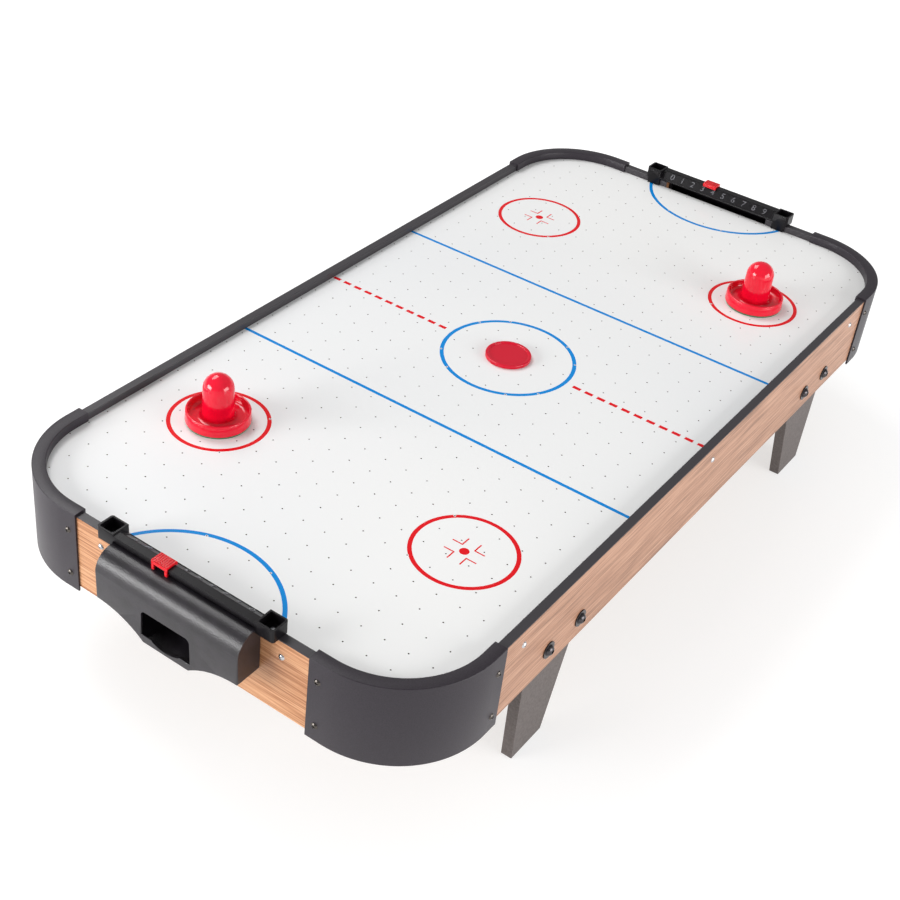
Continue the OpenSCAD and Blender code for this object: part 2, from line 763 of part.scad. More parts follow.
fan_z = floor_z - fan_h;
fan_screw_d = 4;
fan_screw_in = 7.5;
strut_h = 3;
motor_r = 13;
motor_top = fan_z + strut_h + 18;
hub_r = 17;
hub_top = floor_z - 3;
shaft_r = 1.5;

module fan_screw_places() {
  at = fan_w / 2 - fan_screw_in;
  for (sx = [-1, 1]) for (sy = [-1, 1]) translate([sx * at, sy * at, fan_z]) children();
}

module blower_housing() {
  corner = 5;
  core = fan_w / 2 - corner;
  color("#242426") difference() {
    union() {
      difference() {
        translate([0, 0, fan_z]) linear_extrude(fan_h) {
          square([fan_w, 2 * core], center = true);
          square([2 * core, fan_w], center = true);
          for (sx = [-1, 1]) for (sy = [-1, 1]) translate([sx * core, sy * core]) circle(corner, $fn = small_facets);
        }
        translate([0, 0, fan_z - 1]) cylinder(d = duct_d, h = fan_h + 2, $fn = 2 * facets);
      }
      for (turn = [0, 90]) rotate(turn + 45) translate([-duct_d / 2 - 1, -2.5, fan_z]) cube([duct_d + 2, 5, strut_h]);
      translate([0, 0, fan_z]) cylinder(r = motor_r + 2, h = strut_h, $fn = facets);
    }
    fan_screw_places() translate([0, 0, -1]) cylinder(d = fan_screw_d + 0.4, h = fan_h + 2, $fn = 24);
  }
}

module blower_motor() {
  color("silver") difference() {
    union() {
      translate([0, 0, fan_z + strut_h]) cylinder(r = motor_r, h = motor_top - fan_z - strut_h, $fn = facets);
      translate([0, 0, motor_top - eps]) cylinder(r = 4, h = 1.5, $fn = small_facets);
    }
    translate([0, 0, motor_top - 12]) cylinder(r = shaft_r + 0.05, h = 15, $fn = small_facets);
  }
}

module blower_shaft() {
  color("gainsboro") translate([0, 0, motor_top - 11.5]) cylinder(r = shaft_r, h = hub_top - 1 - motor_top + 11.5, $fn = small_facets);
}

module blower_impeller() {
  blade_tip = duct_d / 2 - 1.2;
  skirt = hub_r - 1.6;
  hub_low = motor_top - 8;
  color("#151516") {
    difference() {
      translate([0, 0, hub_low]) cylinder(r = hub_r, h = hub_top - hub_low, $fn = facets);
      translate([0, 0, hub_low - 1]) cylinder(r = skirt, h = hub_top - hub_low - 2, $fn = facets);
      translate([0, 0, hub_low]) cylinder(r = shaft_r + 0.02, h = hub_top - hub_low - 1, $fn = small_facets);
    }
    intersection() {
      difference() {
        translate([0, 0, fan_z + strut_h + 1]) cylinder(r = blade_tip, h = hub_top - fan_z - strut_h - 1, $fn = 2 * facets);
        translate([0, 0, fan_z]) cylinder(r = hub_r - 0.6, h = fan_h, $fn = facets);
      }
      for (i = [0 : blade_count - 1]) rotate(360 / blade_count * i)
        translate([0, 0, (hub_low + hub_top) / 2]) rotate([38, 0, 0]) translate([hub_r - 2, -10.5, -0.8]) cube([blade_tip, 21, 1.6]);
    }
  }
}

module blower_grille() {
  grille_t = 2;
  ring_w = 2.2;
  ring_gap = 8;
  color("#2c2c2e") difference() {
    translate([0, 0, fan_z - grille_t]) linear_extrude(grille_t) {
      difference() {
        square(fan_w, center = true);
        circle(d = duct_d, $fn = facets);
      }
      for (r = [hub_r : ring_gap : duct_d / 2]) difference() {
        circle(r + ring_w / 2, $fn = facets);
        circle(r - ring_w / 2, $fn = facets);
      }
      for (turn = [0, 90]) rotate(turn) square([duct_d + 2, 3], center = true);
    }
    fan_screw_places() translate([0, 0, -grille_t - 1]) cylinder(d = fan_screw_d + 0.4, h = grille_t + 2, $fn = 24);
  }
}

module blower_screws() {
  color("silver") fan_screw_places() translate([0, 0, -2]) rotate([180, 0, 0]) screw(7.5, 2.2, fan_screw_d, fan_h + 2 + floor_t - 0.5);
}

// ---- switch, power inlet and the lead between them and the blower ----

module at_switch() { out_left(switch_y, socket_z) children(); }

module switch_body() {
  color("#191919") at_switch() difference() {
    union() {
      translate([-7.5, -11, 0]) cube([15, 22, 1.6]);
      translate([-6.2, -9.5, -16]) cube([12.4, 19, 16 + eps]);
    }
    translate([-4.6, -8.4, -12]) cube([9.2, 16.8, 20]);
    translate([0, 0, -rocker_depth]) rotate([0, 90, 0]) cylinder(r = 1.08, h = 11, center = true, $fn = 24);
  }
}

module switch_rocker() {
  pivot = -rocker_depth;
  color("#7a1010") at_switch() translate([0, 0, pivot]) rotate([-rocker_tilt, 0, 0]) {
    rotate([0, -90, 0]) linear_extrude(8.4, center = true)
      polygon([[-5, -4], [-1, -7.4], [3.4, -7.3], [1.6, 0], [3.4, 7.3], [-1, 7.4], [-5, 4]]);
    rotate([0, 90, 0]) cylinder(r = 1, h = 10.4, center = true, $fn = 24);
  }
}

module power_jack() {
  color("#191919") out_left(jack_y, socket_z) {
    difference() {
      union() {
        cylinder(d = 12, h = 1.6, $fn = small_facets);
        translate([0, 0, -16]) cylinder(d = 8, h = 16.5, $fn = small_facets);
      }
      translate([0, 0, -10]) cylinder(d = 6.3, h = 20, $fn = small_facets);
    }
    translate([0, 0, -11]) cylinder(d = 2, h = 9.5, $fn = 24);
  }
}

// a flat two-core lead: from the inlet to the switch, then up and along the chamber floor to the fan
lead_w = 5;
lead_t = 2;
module blower_lead() {
  bend = 5;
  back_x = -half_w + 16;
  run_z = floor_z - lead_t;
  rise_x = back_x + bend + 6;
  color("#101010") {
    translate([back_x, jack_y - 4, socket_z - lead_w / 2]) mirror([0, 1, 0]) cube([lead_t, jack_y - switch_y - 8, lead_w]);
    translate([back_x, jack_y - 6, socket_z - lead_w / 2]) cube([lead_t, 10, lead_w]);
    translate([back_x, switch_y - 6, socket_z - lead_w / 2]) cube([lead_t, 12, lead_w]);
    translate([0, switch_y + lead_w / 2, 0]) rotate([90, 0, 0]) linear_extrude(lead_w) {
      translate([back_x, socket_z - lead_t / 2]) square([rise_x - bend - back_x, lead_t]);
      translate([rise_x - bend, socket_z + bend]) lead_bend(bend, -90);
      translate([rise_x - lead_t / 2, socket_z + bend]) square([lead_t, run_z + lead_t / 2 - socket_z - 2 * bend]);
      translate([rise_x + bend, run_z + lead_t / 2 - bend]) lead_bend(bend, 90);
      translate([rise_x + bend, run_z]) square([-fan_w / 2 - rise_x - bend, lead_t]);
    }
  }
}

module lead_bend(bend, turn) {
  rotate(turn) intersection() {
    difference() {
      circle(bend + lead_t / 2, $fn = facets);
      circle(bend - lead_t / 2, $fn = facets);
    }
    square(bend + lead_t);
  }
}

playing_surface();
side_panel_right();
side_panel_left();
end_panel_near();
end_panel_far();
side_trim_right();
side_trim_left();
end_trim_near_right();
end_trim_near_left();
end_trim_far_right();
end_trim_far_left();
corner_cap_near_right();
corner_cap_near_left();
corner_cap_far_right();
corner_cap_far_left();
chamber_floor();
side_batten_right();
side_batten_left();
end_battens_near();
end_battens_far();
air_seal_near();
air_seal_far();
chamber_rib_right();
chamber_rib_left();
leg_near_right();
leg_near_left();
leg_far_right();
leg_far_left();
leg_bolts();
leg_washers();
leg_nuts();
cap_screws();
panel_screws();
floor_screws();
goal_box_near();
goal_box_far();
goal_box_screws();
score_bar_near();
score_bar_far();
score_bar_screws();
score_marker_near();
score_marker_far();
mallet_near();
mallet_far();
mallet_pad_near();
mallet_pad_far();
puck();
blower_housing();
blower_motor();
blower_shaft();
blower_impeller();
blower_grille();
blower_screws();
switch_body();
switch_rocker();
power_jack();
blower_lead();
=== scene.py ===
import math
import bmesh
import bpy
from mathutils import Matrix, Vector


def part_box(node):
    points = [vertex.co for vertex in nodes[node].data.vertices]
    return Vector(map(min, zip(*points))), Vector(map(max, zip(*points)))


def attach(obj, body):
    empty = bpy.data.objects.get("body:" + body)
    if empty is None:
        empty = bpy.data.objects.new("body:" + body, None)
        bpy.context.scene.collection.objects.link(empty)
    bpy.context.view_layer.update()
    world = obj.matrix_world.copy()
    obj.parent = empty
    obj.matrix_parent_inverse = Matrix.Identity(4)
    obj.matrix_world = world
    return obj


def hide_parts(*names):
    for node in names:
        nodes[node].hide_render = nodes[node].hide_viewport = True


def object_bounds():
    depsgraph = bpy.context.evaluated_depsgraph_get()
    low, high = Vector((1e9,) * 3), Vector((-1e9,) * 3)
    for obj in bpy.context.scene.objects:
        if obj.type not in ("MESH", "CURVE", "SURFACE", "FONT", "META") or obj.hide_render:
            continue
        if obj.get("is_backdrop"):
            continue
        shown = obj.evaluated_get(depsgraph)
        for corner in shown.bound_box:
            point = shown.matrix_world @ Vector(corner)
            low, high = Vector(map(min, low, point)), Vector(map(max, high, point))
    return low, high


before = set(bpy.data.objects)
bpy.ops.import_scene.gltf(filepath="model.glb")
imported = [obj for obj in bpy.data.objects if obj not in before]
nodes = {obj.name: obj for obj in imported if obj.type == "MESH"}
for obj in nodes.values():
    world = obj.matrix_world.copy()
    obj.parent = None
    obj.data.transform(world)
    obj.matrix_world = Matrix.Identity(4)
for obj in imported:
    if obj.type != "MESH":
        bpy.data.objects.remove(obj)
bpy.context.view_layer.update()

# ---- Camera, floor and studio lights ----
# A table-top product set: a white paper sweep that glows a little more away from the
# table, a large softbox over the left, two low ones, and a pale surround, white at the horizon.

MM = 0.001
scene = bpy.context.scene
scene.view_settings.view_transform = "Standard"

# A long lens, a little above the table and off its near right corner.
camera_data = bpy.data.cameras.new("camera")
camera_data.lens = 60.05
camera_data.shift_x, camera_data.shift_y = 0.0556, -0.0056
camera_data.clip_end = 20
camera = bpy.data.objects.new("camera", camera_data)
camera.location = (0.66849, -1.22507, 1.08090)
camera.rotation_euler = [math.radians(a) for a in (53.4906, -4.7233, 36.5514)]
scene.collection.objects.link(camera)
scene.camera = camera


def srgb(code, alpha=1.0):
    """Hex sRGB colour as the linear values a shader takes."""
    parts = [int(code[i:i + 2], 16) / 255 for i in (1, 3, 5)]
    return [c / 12.92 if c <= 0.04045 else ((c + 0.055) / 1.055) ** 2.4 for c in parts] + [alpha]


def add(tree, kind, settings=None, into=None, **inputs):
    """Adds a shader node. settings are its properties, and a ramp's stops; into is the (node, input)
    that its first output feeds; inputs are values, or (node, output) to link. _2 is the input at 2."""
    made = tree.nodes.new(kind)
    settings = dict(settings or {})
    stops = settings.pop("stops", [])
    for key, value in settings.items():
        setattr(made, key, value)
    for i, (at, code) in enumerate(stops):
        stop = made.color_ramp.elements[i] if i < 2 else made.color_ramp.elements.new(at)
        stop.position, stop.color = at, srgb(code)
    for key, value in inputs.items():
        key = int(key[1:]) if key[0] == "_" and key[1:].isdigit() else key.replace("_", " ")
        socket = made.inputs[key]
        if isinstance(value, tuple) and isinstance(value[0], bpy.types.Node):
            tree.links.new(value[0].outputs[value[1]], socket)
        else:
            socket.default_value = value
    if into:
        tree.links.new(made.outputs[0], into[0].inputs[into[1]])
    return made


def new_material(name, base, roughness, **surface):
    """A material with one Principled shader; returns it with its tree, shader and Object coordinates."""
    made = bpy.data.materials.new(name)
    made.use_nodes = True
    tree = made.node_tree
    shader = tree.nodes["Principled BSDF"]
    shader.inputs["Base Color"].default_value = srgb(base)
    shader.inputs["Roughness"].default_value = roughness
    for key, value in surface.items():
        shader.inputs[key.replace("_", " ")].default_value = value
    place = add(tree, "ShaderNodeTexCoord")
    return made, tree, shader, place


FLOOR_HALF = 60.0
FLOOR_GAP = 0.3 * MM  # keeps the floor off the leg ends
TABLE_MIDDLE = Vector((0, 0, 0.15))
floor_mesh = bpy.data.meshes.new("studio_floor")
shape = bmesh.new()
bmesh.ops.create_grid(shape, x_segments=2, y_segments=2, size=FLOOR_HALF)
shape.to_mesh(floor_mesh)
shape.free()
studio_floor = bpy.data.objects.new("studio_floor", floor_mesh)
floor_mesh.transform(Matrix.Translation((0, 0, -FLOOR_GAP)))
scene.collection.objects.link(studio_floor)
paper, tree, shader, place = new_material("white_paper_sweep", "#AAAAAA", 0.9)
spread = add(tree, "ShaderNodeMapping", Vector=(place, "Object"), Scale=[1.0, 0.62, 0.0])
reach = add(tree, "ShaderNodeVectorMath", {"operation": "LENGTH"}, _0=(spread, 0))
add(tree, "ShaderNodeMapRange", into=(shader, "Emission Strength"), Value=(reach, "Value"),
    From_Min=0.3, From_Max=1.1, To_Min=0.66, To_Max=0.98)
shader.inputs["Emission Color"].default_value = srgb("#FFFFFF")
floor_mesh.materials.append(paper)
studio_floor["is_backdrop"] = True

world = bpy.data.worlds.new("studio")
world.use_nodes = True
sky = world.node_tree.nodes["Background"]
sky.inputs["Color"].default_value = srgb("#FFFFFF")
look = add(world.node_tree, "ShaderNodeTexCoord")
height = add(world.node_tree, "ShaderNodeSeparateXYZ", Vector=(look, "Generated"))
add(world.node_tree, "ShaderNodeMapRange", into=(sky, "Strength"), Value=(height, "Z"),
    From_Min=0.06, From_Max=0.16, To_Min=1.0, To_Max=0.38)
scene.world = world

for name, at, size, power in (
    ("key_softbox", (-2.0, 0.35, 2.7), (1.8, 1.4), 52),
    ("right_softbox", (2.1, 0.1, 0.7), (1.5, 0.8), 28),
    ("front_softbox", (-1.3, -2.1, 0.8), (1.4, 0.7), 46),
):
    lamp = bpy.data.lights.new(name, "AREA")
    lamp.shape, lamp.size, lamp.size_y, lamp.energy = "RECTANGLE", size[0], size[1], power
    lamp_object = bpy.data.objects.new(name, lamp)
    lamp_object.location = at
    lamp_object.rotation_euler = (TABLE_MIDDLE - Vector(at)).to_track_quat("-Z", "Y").to_euler()
    scene.collection.objects.link(lamp_object)

# ---- Playing surface ----
# Fibreboard with a white lacquered face, drilled on a one inch grid. The rink lines are
# screen printed on it, and the drill breaks the ink into a small pale ring at each hole.

field_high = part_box("playing_surface")[1]
HOLE_PITCH = 25.4 * MM
BURR_AND_SHADE_R, BARE_R = 0.82 * MM, 1.35 * MM  # round each hole: the dark ring of burr and painted shade at its edge, and the ring bare of ink
PRINT_DEPTH = 0.05 * MM  # lowest place that still counts as the top face
RING_R, RING_W = 73.2 * MM, 4.5 * MM
CREASE_Y, CREASE_R = 536.7 * MM, 101.3 * MM
BLUE_LINE_Y, BLUE_LINE_W = 155.4 * MM, 4.2 * MM
SPOT_X, SPOT_Y = 150.5 * MM, 303.4 * MM
SPOT_R, SPOT_W, DOT_R = 50.6 * MM, 4.4 * MM, 4.9 * MM
HASH_GAP, HASH_W, HASH_MIDDLE, HASH_LEN = 7 * MM, 1.5 * MM, 12.2 * MM, 11.6 * MM
DASH_START, DASH_PITCH, DASH_LEN, DASH_W = 83.6 * MM, 15.1 * MM, 9.7 * MM, 4.7 * MM

# Lacquered white: clean satin, with a very slow cloudiness across the board.
board, tree, shader, place = new_material(
    "white_lacquered_fibreboard", "#EFEFEF", 0.25, Specular_IOR_Level=0.2)

# The print is the same in all four quarters, so it is drawn on the distances from the middle.
flat = add(tree, "ShaderNodeVectorMath", {"operation": "MULTIPLY"}, _0=(place, "Object"), _1=(1, 1, 0))
quarter = add(tree, "ShaderNodeVectorMath", {"operation": "ABSOLUTE"}, _0=(flat, 0))
sides = add(tree, "ShaderNodeSeparateXYZ", Vector=(quarter, 0))
x_side, y_side = (sides, "X"), (sides, "Y")


def distance_from(x, y, spot=(quarter, 0)):
    """How far each place is from a point of the print."""
    return add(tree, "ShaderNodeVectorMath", {"operation": "DISTANCE"}, _0=spot, _1=(x, y, 0)), "Value"


def offset(value, centre):
    """How far value is from centre, to either side."""
    gap = add(tree, "ShaderNodeMath", {"operation": "SUBTRACT"}, _0=value, _1=centre)
    return add(tree, "ShaderNodeMath", {"operation": "ABSOLUTE"}, _0=(gap, 0)), 0


def band(value, centre, width):
    """1 where value is within half of width from centre."""
    return add(tree, "ShaderNodeMath", {"operation": "COMPARE"}, _0=value, _1=centre, _2=width / 2), 0


def beyond(value, limit):
    """1 where value is more than limit."""
    return add(tree, "ShaderNodeMath", {"operation": "GREATER_THAN"}, _0=value, _1=limit), 0


def within(value, limit):
    """1 where value is less than limit."""
    return add(tree, "ShaderNodeMath", {"operation": "LESS_THAN"}, _0=value, _1=limit), 0


def all_of(first, *others):
    """1 where every one of the marks is."""
    for other in others:
        first = add(tree, "ShaderNodeMath", {"operation": "MULTIPLY"}, _0=first, _1=other), 0
    return first


def any_of(first, *others):
    """1 where at least one of the marks is."""
    for other in others:
        first = add(tree, "ShaderNodeMath", {"operation": "MAXIMUM"}, _0=first, _1=other), 0
    return first


blue = any_of(band(distance_from(0, 0), RING_R, RING_W), band(distance_from(0, CREASE_Y), CREASE_R, RING_W),
              band(y_side, BLUE_LINE_Y, BLUE_LINE_W))

spot_distance = distance_from(SPOT_X, SPOT_Y)
spot_x, spot_y = offset(x_side, SPOT_X), offset(y_side, SPOT_Y)
hash_across = all_of(band(spot_y, HASH_GAP, HASH_W), band(spot_x, HASH_MIDDLE, HASH_LEN))
hash_along = all_of(band(spot_x, HASH_GAP, HASH_W), band(spot_y, HASH_MIDDLE, HASH_LEN))
from_first = add(tree, "ShaderNodeMath", {"operation": "SUBTRACT"}, _0=x_side, _1=DASH_START)
in_dash = add(tree, "ShaderNodeMath", {"operation": "FLOORED_MODULO"}, _0=(from_first, 0), _1=DASH_PITCH)
dashes = all_of(within((in_dash, 0), DASH_LEN), beyond(x_side, DASH_START), band(y_side, 0, DASH_W))
red = any_of(band(spot_distance, SPOT_R, SPOT_W), within(spot_distance, DOT_R),
             hash_across, hash_along, dashes)

cell_place = add(tree, "ShaderNodeVectorMath", {"operation": "MODULO"}, _0=(quarter, 0),
                 _1=(HOLE_PITCH, HOLE_PITCH, 1))
hole_distance = distance_from(HOLE_PITCH / 2, HOLE_PITCH / 2, (cell_place, 0))
height = add(tree, "ShaderNodeSeparateXYZ", Vector=(place, "Object"))
top_face = beyond((height, "Z"), field_high.z - PRINT_DEPTH)
inked = all_of(beyond(hole_distance, BARE_R), top_face)

# Each layer lies over the one before: white lacquer, blue ink, red ink, the dark ring of burr and painted
# shade round each hole, sawn edge.
haze = add(tree, "ShaderNodeTexNoise", Vector=(place, "Object"), Scale=2.2, Detail=1.0)
white = add(tree, "ShaderNodeValToRGB", {"stops": [(0.3, "#E9EAEB"), (0.7, "#F1F1F0")]}, Fac=(haze, "Fac"))
layer = (white, 0)
# The third layer is a dark ring round each hole: partly the drill's burr, partly painted shade where the
# lacquer turns down into the hole.
for mark, code in ((all_of(blue, inked), "#0087D6"), (all_of(red, inked), "#E0101C"),
                   (all_of(within(hole_distance, BURR_AND_SHADE_R), top_face), "#76716B")):
    layer = add(tree, "ShaderNodeMix", {"data_type": "RGBA"}, _0=mark, _6=layer, _7=srgb(code)), 2
sawn = add(tree, "ShaderNodeMix", {"data_type": "RGBA"}, _0=top_face, _6=srgb("#4A3826"), _7=layer)
tree.links.new(sawn.outputs[2], shader.inputs["Base Color"])


def finish_node(name, surface):
    """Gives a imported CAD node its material."""
    mesh = nodes[name].data
    mesh.materials.clear()
    mesh.materials.append(surface)


finish_node("playing_surface", board)

# ---- Side and end boards ----
# Particle board faced with printed wood-grain laminate, its grain along each board.
# Sawn square, with the edges just broken; screwed to battens and corner caps.

STREAK_SHARE = 0.72  # of the grain's colour; the slow figure gives the rest
MERGE_REACH = 0.005 * MM
SAME_PLANE, LEAST_TURN, ROUND_TURN = (math.radians(turn) for turn in (0.3, 0.5, 28))


def wood_laminate(name, length_axis, mid, dark, light):
    """Printed laminate: a satin face with open-pore streaks about 1 mm apart along the board, which
    is coarser than the real print so that they show, over a slow figure 10 mm wide."""
    made, tree, shader, place = new_material(name, mid, 0.42, IOR=1.5)
    across_and_along = ((260, 5), (42, 1.6))
    fine, broad = (
        add(tree, "ShaderNodeMapping", Vector=(place, "Object"),
            Scale=[along if axis == length_axis else across for axis in range(3)])
        for across, along in across_and_along)
    streak = add(tree, "ShaderNodeTexNoise", Vector=(fine, 0), Scale=3.2, Detail=4.0, Roughness=0.6)
    figure = add(tree, "ShaderNodeTexNoise", Vector=(broad, 0), Scale=2.6, Detail=3.0, Roughness=0.55,
                 Distortion=0.4)
    mixed = add(tree, "ShaderNodeMath", {"operation": "MULTIPLY"}, _0=(streak, "Fac"), _1=STREAK_SHARE)
    total = add(tree, "ShaderNodeMath", {"operation": "MULTIPLY_ADD"}, _0=(figure, "Fac"),
                _1=1 - STREAK_SHARE, _2=(mixed, 0))
    add(tree, "ShaderNodeValToRGB", {"stops": [(0.4, dark), (0.5, mid), (0.6, light)]},
        into=(shader, "Base Color"), Fac=(total, 0))
    add(tree, "ShaderNodeBump", into=(shader, "Normal"), Height=(streak, "Fac"),
        Strength=0.25, Distance=0.05 * MM)
    return made


def make_piece(name, shape, surface, body, node=None):
    """Makes a finished piece of a bmesh. It rides on body and stands for node, where one is given."""
    mesh = bpy.data.meshes.new(name)
    shape.to_mesh(mesh)
    shape.free()
    mesh.materials.append(surface)
    piece = bpy.data.objects.new(name, mesh)
    scene.collection.objects.link(piece)
    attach(piece, body)
    if node:
        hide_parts(node)


def crease_edges(shape, sharp):
    """Marks the edges that turn by more than sharp degrees, so that shading breaks only there."""
    for edge in shape.edges:
        edge.smooth = not (edge.is_manifold and edge.calc_face_angle(0) > math.radians(sharp))


def eased(node, body, surface, edge_mm=0.4, steps=2, sharp=32):
    """A merged copy of a CAD node with its long sharp edges rounded, standing for that node."""
    shape = bmesh.new()
    shape.from_mesh(nodes[node].data)
    bmesh.ops.remove_doubles(shape, verts=shape.verts, dist=MERGE_REACH)
    bmesh.ops.dissolve_limit(shape, angle_limit=SAME_PLANE, verts=shape.verts, edges=shape.edges)
    for face in shape.faces:
        turns = [edge.calc_face_angle(0) for edge in face.edges if edge.is_manifold]
        face.smooth = any(LEAST_TURN < turn < ROUND_TURN for turn in turns)
    keen = [edge for edge in shape.edges
            if edge.is_manifold and edge.calc_face_angle(0) > math.radians(sharp)
            and edge.calc_length() > 2.5 * edge_mm * MM]
    cut = bmesh.ops.bevel(shape, geom=keen, offset=edge_mm * MM, offset_type="OFFSET", segments=steps,
                          profile=0.5, affect="EDGES", material=-1, clamp_overlap=False)
    for face in cut["faces"]:
        face.smooth = True
    crease_edges(shape, sharp)
    make_piece(node + "_moulding", shape, surface, body, node)


side_laminate = wood_laminate("side_board_laminate", 1, "#A6785D", "#825A41", "#B98D72")
end_laminate = wood_laminate("end_board_laminate", 0, "#C1895F", "#995F37", "#D4A179")
for side in ("right", "left"):
    eased("side_panel_" + side, "frame", side_laminate, 0.35)
for end in ("near", "far"):
    eased("end_panel_" + end, "frame", end_laminate, 0.35)

# ---- Rail trims ----
# Extruded ABS angle in satin black, pressed over the boards' top edge, with its skirt down
# to the playing surface. The die leaves a fine grain, made 1 mm coarse so that it shows,
# and handling leaves slow changes of gloss.

trim_abs, tree, shader, place = new_material("extruded_satin_abs", "#373438", 0.38, Specular_IOR_Level=0.45)
grain = add(tree, "ShaderNodeTexNoise", Vector=(place, "Object"), Scale=900.0, Detail=2.0)
add(tree, "ShaderNodeBump", into=(shader, "Normal"), Height=(grain, "Fac"), Strength=0.25, Distance=0.05 * MM)
wear = add(tree, "ShaderNodeTexNoise", Vector=(place, "Object"), Scale=14.0, Detail=3.0)
add(tree, "ShaderNodeMapRange", into=(shader, "Roughness"), Value=(wear, "Fac"), To_Min=0.32, To_Max=0.46)
for side in ("right", "left"):
    eased("side_trim_" + side, "frame", trim_abs, 0.5)
    for end in ("near", "far"):
        eased(f"end_trim_{end}_{side}", "frame", trim_abs, 0.5)

# ---- Corner caps ----
# Injection-moulded ABS channels, bent round the corner, lapped over the boards' ends and
# screwed to them. The mould's spark-eroded grit, made 0.9 mm coarse so that it shows,
# gives a dry satin charcoal.

cap_abs, tree, shader, place = new_material("moulded_charcoal_abs", "#302931", 0.42, Specular_IOR_Level=0.38)
grit = add(tree, "ShaderNodeTexNoise", Vector=(place, "Object"), Scale=1100.0, Detail=2.0)
add(tree, "ShaderNodeValToRGB", {"stops": [(0.35, "#262127"), (0.65, "#302A32")]},
    into=(shader, "Base Color"), Fac=(grit, "Fac"))
add(tree, "ShaderNodeBump", into=(shader, "Normal"), Height=(grit, "Fac"), Strength=0.4, Distance=0.08 * MM)

cap_low, cap_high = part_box("corner_cap_near_right")
rail_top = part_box("side_trim_right")[1].z
CAP_WALL, CAP_LAP, CAP_WIDTH = 2 * MM, 17 * MM, 13.5 * MM
CAP_GAP = 0.1 * MM  # over the playing surface
CAP_EDGE = 0.8 * MM
centre_x, centre_y = cap_low.x + CAP_LAP, cap_high.y - CAP_LAP
outer_r = cap_high.x - centre_x
inner_r = outer_r - CAP_WIDTH
lip_z = field_high.z + CAP_GAP
cap_section = [
    (outer_r, cap_low.z), (outer_r, cap_high.z), (inner_r, cap_high.z), (inner_r, lip_z),
    (inner_r + CAP_WALL, lip_z), (inner_r + CAP_WALL, rail_top),
    (outer_r - CAP_WALL, rail_top), (outer_r - CAP_WALL, cap_low.z),
]


def run_straight(shape, faces, move):
    """Draws faces out straight by move and returns the faces at its end."""
    run = bmesh.ops.extrude_face_region(shape, geom=faces)["geom"]
    bmesh.ops.translate(shape, verts=[g for g in run if isinstance(g, bmesh.types.BMVert)], vec=move)
    return [g for g in run if isinstance(g, bmesh.types.BMFace)]


for x_sign, side in ((1, "right"), (-1, "left")):
    for y_sign, end in ((1, "far"), (-1, "near")):
        shape = bmesh.new()
        shape.faces.new([shape.verts.new((centre_x + r, centre_y + CAP_LAP, z)) for r, z in cap_section])
        bmesh.ops.bevel(shape, geom=list(shape.verts), offset=CAP_EDGE, offset_type="OFFSET", segments=3,
                        profile=0.5, affect="VERTICES", material=-1)
        start = shape.faces[:]
        bend = run_straight(shape, start, (0, -CAP_LAP, 0))
        bmesh.ops.delete(shape, geom=start, context="FACES_KEEP_BOUNDARY")
        bent = bmesh.ops.spin(shape, geom=bend, cent=(centre_x, centre_y, 0), axis=(0, 0, 1),
                              angle=math.radians(-90), steps=40, use_merge=False, use_duplicate=False)
        bend = [g for g in bent["geom_last"] if isinstance(g, bmesh.types.BMFace)]
        run_straight(shape, bend, (-CAP_LAP, 0, 0))
        bmesh.ops.delete(shape, geom=[face for face in bend if face.is_valid], context="FACES_ONLY")
        bmesh.ops.remove_doubles(shape, verts=shape.verts, dist=0.01 * MM)
        bmesh.ops.holes_fill(shape, edges=[edge for edge in shape.edges if edge.is_boundary], sides=0)
        bmesh.ops.scale(shape, verts=shape.verts, vec=(x_sign, -y_sign, 1))
        bmesh.ops.recalc_face_normals(shape, faces=shape.faces)
        for face in shape.faces:  # all but the two cut ends
            face.smooth = len(face.verts) == 4
        crease_edges(shape, 40)
        cap_name = f"corner_cap_{end}_{side}"
        make_piece(cap_name + "_moulding", shape, cap_abs, "frame", cap_name)

# ---- Legs ----
# Tapered fibreboard boards, bolted inside the side boards and wrapped in a matt
# grey-brown foil that lets the board's fibre, 2 mm long, show through a little.

leg_foil, tree, shader, place = new_material("matt_foil_board", "#5D5552", 0.6, Specular_IOR_Level=0.4)
fibre = add(tree, "ShaderNodeTexNoise", Vector=(place, "Object"), Scale=420.0, Detail=3.0)
add(tree, "ShaderNodeValToRGB", {"stops": [(0.35, "#554E4B"), (0.65, "#655D5B")]},
    into=(shader, "Base Color"), Fac=(fibre, "Fac"))
add(tree, "ShaderNodeBump", into=(shader, "Normal"), Height=(fibre, "Fac"), Strength=0.3, Distance=0.06 * MM)
for side in ("right", "left"):
    for end in ("near", "far"):
        eased(f"leg_{end}_{side}", "frame", leg_foil, 0.5)

# ---- Bolts, washers and screws ----
# Domed socket bolts and dished washers in black zinc, cross-head screws in bright zinc
# on the boards and in smoked nickel on the caps. Plating is never even, so the gloss
# changes over 2 mm patches.


def plated(name, colour, roughness, patches, dull_from, dull_to):
    """Plated steel, its gloss changing from patch to patch; patches is how many lie in a metre."""
    made, tree, shader, place = new_material(name, colour, roughness, Metallic=1.0)
    patch = add(tree, "ShaderNodeTexNoise", Vector=(place, "Object"), Scale=patches, Detail=2.0)
    add(tree, "ShaderNodeMapRange", into=(shader, "Roughness"), Value=(patch, "Fac"),
        To_Min=dull_from, To_Max=dull_to)
    return made


black_zinc = plated("black_zinc_steel", "#4E4B4D", 0.22, 500.0, 0.18, 0.36)
eased("leg_washers", "frame", black_zinc, 0.3)
eased("leg_bolts", "frame", black_zinc, 0.25)

bright_zinc = plated("bright_zinc_steel", "#C9CACD", 0.28, 600.0, 0.2, 0.38)
smoked_nickel = plated("smoked_nickel_steel", "#5A5551", 0.25, 600.0, 0.18, 0.34)
finish_node("cap_screws", smoked_nickel)
for name in ("panel_screws", "floor_screws", "goal_box_screws", "score_bar_screws", "blower_screws",
             "leg_nuts", "blower_shaft"):
    finish_node(name, bright_zinc)

